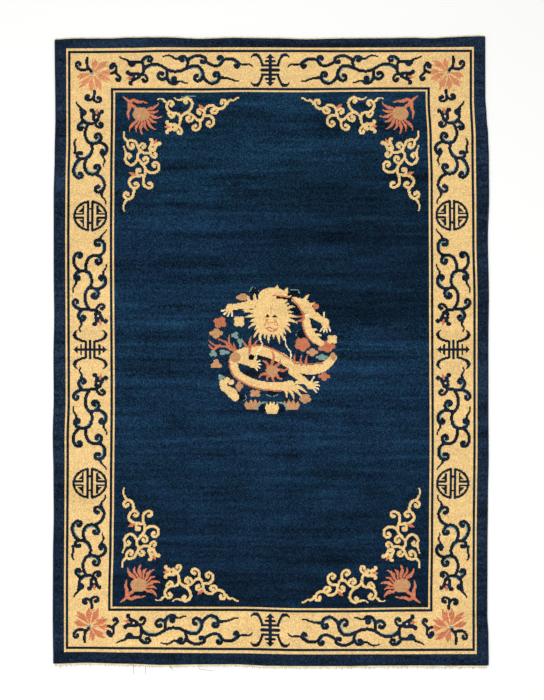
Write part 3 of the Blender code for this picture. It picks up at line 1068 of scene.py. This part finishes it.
def new_material(name):
    """An empty material, with its tree and its main shader."""
    material = bpy.data.materials.new(name)
    material.use_nodes = True
    tree = material.node_tree
    return material, tree, tree.nodes["Principled BSDF"]


# The yarns' colours, in the order of their numbers.
YARN_COLOURS = (
    (FIELD, "#0e2338"),
    (BORDER, "#172536"),
    (GOLD, "#e7c384"),
    (LINE, "#14202f"),
    (SHADE, "#74958f"),
    (CORAL, "#ca7856"),
    (RUST, "#be7150"),
    (ROSE, "#d48b62"),
    (TAN, "#bf8e63"),
    (TEAL, "#7a978e"),
    (INK, "#0b121c"),
    (CREAM, "#f6e2b8"),
    (MARINE, "#0c2b3a"),
)


def yarn_colour(tree):
    """Reads which yarn a knot has, and gives its colour."""
    count = len(YARN_COLOURS)
    number = add_node(tree, "Attribute", {"attribute_name": "yarn"})
    share = add_node(
        tree, "Math", {"operation": "MULTIPLY_ADD", 1: 1 / count, 2: 0.5 / count},
        {0: number.outputs["Fac"]},
    )
    stops = [(index / count, code) for index, (_, code) in enumerate(YARN_COLOURS)]
    ramp = add_node(tree, "ValToRGB", links={"Fac": share.outputs[0]}, stops=stops)
    ramp.color_ramp.interpolation = "CONSTANT"
    return ramp.outputs["Color"]


def finish_cloth(tree, shader, base, relief, strength, depth, roughness, specular):
    """Gives a cloth its colour, the relief of its threads, and how matt it is."""
    bump = add_node(tree, "Bump", {"Strength": strength, "Distance": depth}, {"Height": relief})
    tree.links.new(base, shader.inputs["Base Color"])
    tree.links.new(bump.outputs["Normal"], shader.inputs["Normal"])
    shader.inputs["Roughness"].default_value = roughness
    shader.inputs["Specular IOR Level"].default_value = specular


def wool_pile_material():
    """Hand-spun wool, knotted and cut short: matt, with a little sheen where tips lie over."""
    material, tree, shader = new_material("cut_wool_pile")
    tone = add_node(tree, "Attribute", {"attribute_name": "tone"})
    toned = add_node(tree, "HueSaturation", {}, {"Color": yarn_colour(tree), "Value": tone.outputs["Fac"]})
    knots = add_node(tree, "TexCoord").outputs
    # The UV map counts knots, and each knot stands highest at its middle.
    within = add_node(tree, "VectorMath", {"operation": "FRACTION"}, {0: knots["UV"]})
    from_middle = add_node(
        tree, "VectorMath", {"operation": "SUBTRACT", 1: (0.5, 0.5, 0.0)}, {0: within.outputs[0]}
    )
    away = add_node(tree, "VectorMath", {"operation": "LENGTH"}, {0: from_middle.outputs[0]})
    tuft = add_node(
        tree, "MapRange", {"From Min": 0.2, "From Max": 0.7, "To Min": 1.0, "To Max": 0.0},
        {"Value": away.outputs["Value"]},
    )
    # Wool fibres are 0.03 mm thick, far too fine to show, so the fuzz is drawn at about 1 mm.
    fuzz = add_node(
        tree, "TexNoise", {"Scale": 1000.0, "Detail": 3.0, "Roughness": 0.7}, {"Vector": knots["Object"]}
    )
    height = add_node(
        tree, "Math", {"operation": "MULTIPLY_ADD", 1: 0.8},
        {0: fuzz.outputs["Fac"], 2: tuft.outputs["Result"]},
    )
    finish_cloth(tree, shader, toned.outputs["Color"], height.outputs[0], 0.5, 0.0008, 0.92, 0.06)
    shader.inputs["Sheen Weight"].default_value = 0.03
    shader.inputs["Sheen Roughness"].default_value = 0.5
    shader.inputs["Sheen Tint"].default_value = colour("#8a93a0")
    return material


def knotted_back_material():
    """The backs of the knots between cotton wefts: the same design, duller and dusty, in rows."""
    material, tree, shader = new_material("knotted_cotton_back")
    cotton = add_node(
        tree, "Mix", {"data_type": "RGBA", "Factor": 0.07, 7: colour("#9c8f7c")}, {6: yarn_colour(tree)}
    )
    knots = add_node(tree, "TexCoord").outputs
    # Rows of knots stand 3.6 mm apart, too fine to show, so their ridges are drawn 22 mm apart.
    rows = add_node(
        tree, "TexWave",
        {"wave_type": "BANDS", "bands_direction": "Y", "Scale": 14.0, "Distortion": 0.6, "Detail": 1.0},
        {"Vector": knots["Object"]},
    )
    dust = add_node(tree, "TexNoise", {"Scale": 9.0, "Detail": 6.0}, {"Vector": knots["Object"]})
    level = add_node(tree, "MapRange", {"To Min": 0.75, "To Max": 1.2}, {"Value": dust.outputs["Fac"]})
    dusty = add_node(
        tree, "HueSaturation", {}, {"Color": cotton.outputs[2], "Value": level.outputs["Result"]}
    )
    finish_cloth(tree, shader, dusty.outputs["Color"], rows.outputs["Fac"], 0.5, 0.0006, 0.95, 0.1)
    return material


def overcast_yarn_material():
    """Navy yarn wound tightly round the edge warps: slanting turns, a shade duller than the pile."""
    material, tree, shader = new_material("overcast_navy_yarn")
    turns = add_node(tree, "TexCoord").outputs
    # The UV map counts turns of 3.6 mm. They are too fine to show, so the bands are drawn wider.
    winding = add_node(
        tree, "TexWave",
        {"wave_type": "BANDS", "bands_direction": "DIAGONAL", "Scale": 0.5, "Distortion": 1.0},
        {"Vector": turns["UV"]},
    )
    fuzz = add_node(tree, "TexNoise", {"Scale": 60.0, "Detail": 6.0}, {"Vector": turns["Object"]})
    shade = add_node(
        tree, "ValToRGB", links={"Fac": fuzz.outputs["Fac"]}, stops=((0.3, "#141f2e"), (0.7, "#2b3b50"))
    )
    finish_cloth(tree, shader, shade.outputs["Color"], winding.outputs["Fac"], 0.7, 0.0008, 0.9, 0.15)
    return material


def cotton_web_material():
    """Undyed cotton warps and wefts: cream, matt, a little soiled, and straw brown where frayed."""
    material, tree, shader = new_material("undyed_cotton_web")
    place = add_node(tree, "TexCoord").outputs
    # Warps stand 3.6 mm apart in the web, too fine to show, so they are drawn 22 mm apart.
    warps = add_node(
        tree, "TexWave", {"wave_type": "BANDS", "bands_direction": "X", "Scale": 14.0, "Distortion": 0.8},
        {"Vector": place["Object"]},
    )
    soil = add_node(tree, "TexNoise", {"Scale": 40.0, "Detail": 5.0}, {"Vector": place["Object"]})
    shade = add_node(
        tree, "ValToRGB", links={"Fac": soil.outputs["Fac"]}, stops=((0.3, "#dcc48c"), (0.65, "#fbeec6"))
    )
    aged = add_node(tree, "Attribute", {"attribute_name": "aged"})
    straw = add_node(
        tree, "Mix", {"data_type": "RGBA", 7: colour("#a08048")},
        {"Factor": aged.outputs["Fac"], 6: shade.outputs["Color"]},
    )
    finish_cloth(tree, shader, straw.outputs[2], warps.outputs["Fac"], 0.6, 0.0006, 0.9, 0.15)
    return material


def read_places(items, name):
    """The places of a mesh's corners or patches, three numbers each."""
    places = np.zeros(len(items) * 3)
    items.foreach_get(name, places)
    return places.reshape(-1, 3)


def start_grid(name, columns, rows):
    """A new flat grid, with the column and row of each corner and each patch."""
    bpy.ops.object.select_all(action="DESELECT")
    bpy.ops.mesh.primitive_grid_add(x_subdivisions=columns, y_subdivisions=rows, size=2)
    grid = bpy.context.object
    grid.name = name
    grid.data.name = name
    corners = read_places(grid.data.vertices, "co")
    patches = read_places(grid.data.polygons, "center")
    column = np.rint((corners[:, 0] + 1) / 2 * columns).astype(int)
    row = np.rint((1 - corners[:, 1]) / 2 * rows).astype(int)
    patch_column = np.floor((patches[:, 0] + 1) / 2 * columns).astype(int)
    patch_row = np.floor((1 - patches[:, 1]) / 2 * rows).astype(int)
    return grid, (column, row), (patch_column, patch_row)


def set_corners(mesh, x, y, z):
    """Moves the mesh's corners to their real places."""
    mesh.vertices.foreach_set("co", np.column_stack((x, y, z)).ravel())
    mesh.update()


def set_patches(mesh, name, values):
    """Gives each patch a number that its material reads."""
    attribute = mesh.attributes.new(name, "FLOAT", "FACE")
    attribute.data.foreach_set("value", values.astype(np.float32))


def scale_uv(mesh, across, along, start=(0, 0)):
    """The grid's map counts knots or turns in place of 0 to 1."""
    layer = mesh.uv_layers.active.data
    uv = np.zeros(len(layer) * 2)
    layer.foreach_get("uv", uv)
    uv = uv.reshape(-1, 2) * (across, along) + start
    layer.foreach_set("uv", uv.ravel())


def finish_piece(piece, material, node):
    """Gives a piece its material and smooth shading, hangs it on the rug's root, and hides the part's node
    that it stands in for.
    """
    piece.data.materials.clear()
    piece.data.materials.append(material)
    piece.data.shade_smooth()
    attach(piece, "root")
    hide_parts(node)
    return piece


def pile_tile(across, along, material):
    """One sixth of the pile, with each knot as its own patch, and the rug's rim where it has some."""
    columns = KNOT_COLUMNS // TILES_ACROSS
    rows = KNOT_ROWS // TILES_ALONG
    name = f"wool_pile_{along + 1}_{across + 1}"
    tile, (column, row), (patch_column, patch_row) = start_grid(name, columns, rows)
    column = column + across * columns
    row = row + along * rows
    set_corners(tile.data, CORNER_X[row, column], CORNER_Y[row, column], HEIGHTS[row, column])
    knots = (patch_row + along * rows, patch_column + across * columns)
    set_patches(tile.data, "yarn", CHART.yarn[knots])
    set_patches(tile.data, "tone", TONES[knots])
    scale_uv(tile.data, columns, rows, (across * columns, -along * rows))
    rim = (column == 0) | (column == KNOT_COLUMNS) | (row == 0) | (row == KNOT_ROWS)
    for faces in (tile.data.polygons, tile.data.edges):
        faces.foreach_set("select", np.zeros(len(faces), bool))
    tile.data.vertices.foreach_set("select", rim)
    bpy.ops.object.mode_set(mode="EDIT")
    bpy.ops.mesh.select_mode(type="VERT")
    bpy.ops.mesh.select_mode(type="EDGE")
    wall = PILE_TOP - RIM_DROP - UNDERSIDE
    bpy.ops.mesh.extrude_region_move(TRANSFORM_OT_translate={"value": (0, 0, -wall)})
    bpy.ops.object.mode_set(mode="OBJECT")
    return finish_piece(tile, material, "pile_body")


def knotted_back(material):
    """The underside: one flat sheet of knot backs, its design a little coarser, facing the floor."""
    columns = KNOT_COLUMNS // BACK_STEP_ACROSS
    rows = KNOT_ROWS // BACK_STEP_ALONG
    back, (column, row), (patch_column, patch_row) = start_grid("knotted_back", columns, rows)
    column = column * BACK_STEP_ACROSS
    row = row * BACK_STEP_ALONG
    set_corners(back.data, CORNER_X[row, column], CORNER_Y[row, column], np.full(len(row), UNDERSIDE))
    knots = (patch_row * BACK_STEP_ALONG + 1, patch_column * BACK_STEP_ACROSS)
    set_patches(back.data, "yarn", CHART.yarn[knots])
    back.data.flip_normals()
    return finish_piece(back, material, "pile_body")


TURN_SPACING = 0.0036       # one turn of the overcast yarn
CORD_SIDES = 10
CORD_HOLLOW = 0.9           # the cord's radius between two swellings, and at its ends, as shares
CORD_END = 0.6
SEAM_GAP = 0.00001


def overcast_cord(name, side, material):
    """A side cord: a rolled-up grid along the edge, swelling at each second turn of yarn."""
    low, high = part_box(name)
    turns = round((high.y - low.y) / TURN_SPACING)
    cord, (around, turn), _ = start_grid(f"{name}_cord", CORD_SIDES, turns)
    y = high.y - (high.y - low.y) * turn / turns
    radius = SELVEDGE_DIAMETER / 2
    swell = radius * np.where(turn % 2 == 0, 1.0, CORD_HOLLOW)
    swell = np.where((turn == 0) | (turn == turns), radius * CORD_END, swell)
    angle = around / CORD_SIDES * 2 * math.pi
    x = side_edge(side, y - SHIFT_Y) + SHIFT_X + side * (radius + SEAT_GAP) + swell * np.sin(angle)
    set_corners(cord.data, x, y, radius - swell * np.cos(angle))
    scale_uv(cord.data, 1, turns)
    bpy.ops.object.mode_set(mode="EDIT")
    bpy.ops.mesh.select_all(action="SELECT")
    bpy.ops.mesh.remove_doubles(threshold=SEAM_GAP)
    bpy.ops.mesh.fill_holes(sides=CORD_SIDES)
    bpy.ops.mesh.normals_make_consistent(inside=False)
    bpy.ops.object.mode_set(mode="OBJECT")
    return finish_piece(cord, material, name)


WEB_STATIONS = 300
WEB_ROWS = 3
TOP_WARPS = 300             # how many short frayed warps, and how far past the web they reach
TOP_REACH = (0.0005, 0.003)
BOTTOM_WARPS = 420
BOTTOM_REACH = (0.001, 0.008)
WEB_RAGGED = (0.62, 1.0)    # how far the web reaches, as a share of its depth
WARP_RADIUS = 0.0007
WARP_TAPER = 0.5            # how much thinner a warp is at its tip
WARP_PLACE = (0.2, 0.8)     # where a warp stands, as a share of its own stretch of the web
WARP_LEAN = (-0.5, 0.5)     # how far a warp leans, as a share of its length
WARP_BEND = (0.3, 0.6)      # where it bends, as shares of its lean and of its length
WARP_LIFTS = (0.0006, 0.0004, 0.0001)    # how far root, bend and tip lie above the floor
LOOSE_LIFTS = (0.0004, 0.0002)           # and the root and bends of a loose end
LOOSE_PLY = 1.3             # a long loose end is plied thicker
WARP_SEED = 23


def warp_ends(name, routes):
    """Twisted warps, each a thin tapering curve, made one mesh."""
    curve = bpy.data.curves.new(name, "CURVE")
    curve.dimensions = "3D"
    curve.bevel_depth = WARP_RADIUS
    curve.bevel_resolution = 0
    curve.use_fill_caps = True
    for route, ply in routes:
        spline = curve.splines.new("POLY")
        spline.points.add(len(route) - 1)
        for index, place in enumerate(route):
            spline.points[index].co = (*place, 1.0)
            spline.points[index].radius = ply * (1 - WARP_TAPER * index / (len(route) - 1))
    ends = bpy.data.objects.new(name, curve)
    bpy.context.collection.objects.link(ends)
    bpy.ops.object.select_all(action="DESELECT")
    ends.select_set(True)
    bpy.context.view_layer.objects.active = ends
    bpy.ops.object.convert(target="MESH")
    return bpy.context.object


def past_end(end, knots, outward):
    """A place outwards from the body's bottom (-1) or top (1), so many knots along it."""
    row = 0 if end > 0 else -1
    columns = np.arange(KNOT_COLUMNS + 1)
    y = np.interp(knots, columns, CORNER_Y[row]) + end * outward
    return np.interp(knots, columns, CORNER_X[row]), y


def short_warp(end, knots, depth, length, lean):
    """A frayed warp, from the middle of the web outwards."""
    x, y = past_end(end, knots, depth / 2)
    root, bend, tip = (WARP_RADIUS + lift for lift in WARP_LIFTS)
    return (
        (x, y, root),
        (x + lean * WARP_BEND[0], y + end * length * WARP_BEND[1], bend),
        (x + lean, y + end * length, tip),
    )


def loose_warp(end, start, depth, bends):
    """A long loose end, by its place and bends in mm."""
    x = start / 1000 + SHIFT_X
    y = end_edge(end, start / 1000) + SHIFT_Y + end * depth
    route = [(x, y - end * depth / 2, WARP_RADIUS + LOOSE_LIFTS[0])]
    for right, outwards in bends:
        route.append((x + right / 1000, y + end * outwards / 1000, WARP_RADIUS + LOOSE_LIFTS[1]))
    return route


def end_web(name, end, depth, count, reach, material, loose=()):
    """A cotton web along one end, ragged at its edge, with frayed warps and any long loose ones."""
    chance = random.Random(WARP_SEED + end)
    strip, (station, row), _ = start_grid(f"{name}_cotton", WEB_STATIONS, WEB_ROWS)
    ragged = np.array([chance.uniform(*WEB_RAGGED) for _ in range(WEB_STATIONS + 1)])
    outward = SEAT_GAP + depth * ragged[station] * (WEB_ROWS - row) / WEB_ROWS
    rise = np.where(row == 0, WEB_THICKNESS - UNDERSIDE, WEB_THICKNESS)
    set_corners(strip.data, *past_end(end, station / WEB_STATIONS * KNOT_COLUMNS, outward), rise)
    solidify = strip.modifiers.new("web_thickness", "SOLIDIFY")
    solidify.thickness = WEB_THICKNESS - 2 * UNDERSIDE
    solidify.offset = -1
    if end < 0:
        strip.data.flip_normals()
    bpy.ops.object.modifier_apply(modifier=solidify.name)
    routes = []
    for index in range(count):
        knots = (index + chance.uniform(*WARP_PLACE)) / count * KNOT_COLUMNS
        length = depth / 2 + chance.uniform(*reach)
        lean = chance.uniform(*WARP_LEAN) * length
        routes.append((short_warp(end, knots, depth, length, lean), 1.0))
    for start, bends in loose:
        routes.append((loose_warp(end, start, depth, bends), LOOSE_PLY))
    ends = warp_ends(f"{name}_warps", routes)
    set_patches(ends.data, "aged", np.ones(len(ends.data.polygons)))
    set_patches(strip.data, "aged", np.zeros(len(strip.data.polygons)))
    strip.select_set(True)
    bpy.context.view_layer.objects.active = strip
    bpy.ops.object.join()
    return finish_piece(strip, material, name)


FLOOR_SIZE = 30
SOFTBOX_PLACE = (-0.6, -0.6, 4.0)
SOFTBOX_SIZE = 4.0
SOFTBOX_POWER = 80
SURROUND_STRENGTH = 0.75


def floor_piece():
    """A plain pale floor for the rug to lie on."""
    bpy.ops.object.select_all(action="DESELECT")
    bpy.ops.mesh.primitive_plane_add(size=FLOOR_SIZE)
    floor = bpy.context.object
    floor.name = "studio_floor"
    material, tree, shader = new_material("plain_pale_floor")
    shader.inputs["Base Color"].default_value = colour("#fbfbfa")
    shader.inputs["Roughness"].default_value = 0.9
    shader.inputs["Specular IOR Level"].default_value = 0.1
    floor.data.materials.append(material)


PHOTO_HEIGHT = 700                   # in pixels, one of which is a square of the chart
FRAME_MIDDLE = (0.0044, 0.0063)      # the photograph's middle, from the body's own, in metres
CAMERA_LENS = 85.0
CAMERA_SENSOR = 36.0


def straight_down_camera():
    """The photograph looks straight down on the rug, its top edge away from the viewer."""
    view_height = PHOTO_HEIGHT * SQUARE
    distance = CAMERA_LENS / CAMERA_SENSOR * view_height
    data = bpy.data.cameras.new("overhead_camera")
    data.lens = CAMERA_LENS
    data.sensor_width = CAMERA_SENSOR
    data.sensor_fit = "AUTO"
    camera = bpy.data.objects.new("overhead_camera", data)
    bpy.context.collection.objects.link(camera)
    camera.location = (SHIFT_X + FRAME_MIDDLE[0], SHIFT_Y + FRAME_MIDDLE[1], distance + BODY_THICKNESS)
    bpy.context.scene.camera = camera


def studio_light():
    """A broad soft light overhead and an even pale surround, shown with plain sRGB colours."""
    bpy.context.scene.view_settings.view_transform = "Standard"
    world = bpy.data.worlds.new("pale_surround")
    bpy.context.scene.world = world
    world.use_nodes = True
    background = world.node_tree.nodes["Background"]
    background.inputs["Color"].default_value = colour("#ffffff")
    background.inputs["Strength"].default_value = SURROUND_STRENGTH
    light = bpy.data.lights.new("overhead_softbox", "AREA")
    light.shape = "SQUARE"
    light.size = SOFTBOX_SIZE
    light.energy = SOFTBOX_POWER
    softbox = bpy.data.objects.new("overhead_softbox", light)
    softbox.location = SOFTBOX_PLACE
    softbox.rotation_euler = Vector(SOFTBOX_PLACE).to_track_quat("Z", "Y").to_euler()
    bpy.context.collection.objects.link(softbox)


straight_down_camera()
studio_light()
floor_piece()

wool_yarn = wool_pile_material()
for along in range(TILES_ALONG):
    for across in range(TILES_ACROSS):
        pile_tile(across, along, wool_yarn)
back = knotted_back(knotted_back_material())

navy_yarn = overcast_yarn_material()
cords = [overcast_cord("selvedge_left", -1, navy_yarn), overcast_cord("selvedge_right", 1, navy_yarn)]

cotton = cotton_web_material()
webs = [
    end_web("end_web_top", 1, TOP_WEB_DEPTH, TOP_WARPS, TOP_REACH, cotton),
    end_web("end_web_bottom", -1, BOTTOM_WEB_DEPTH, BOTTOM_WARPS, BOTTOM_REACH, cotton, LOOSE_ENDS),
]
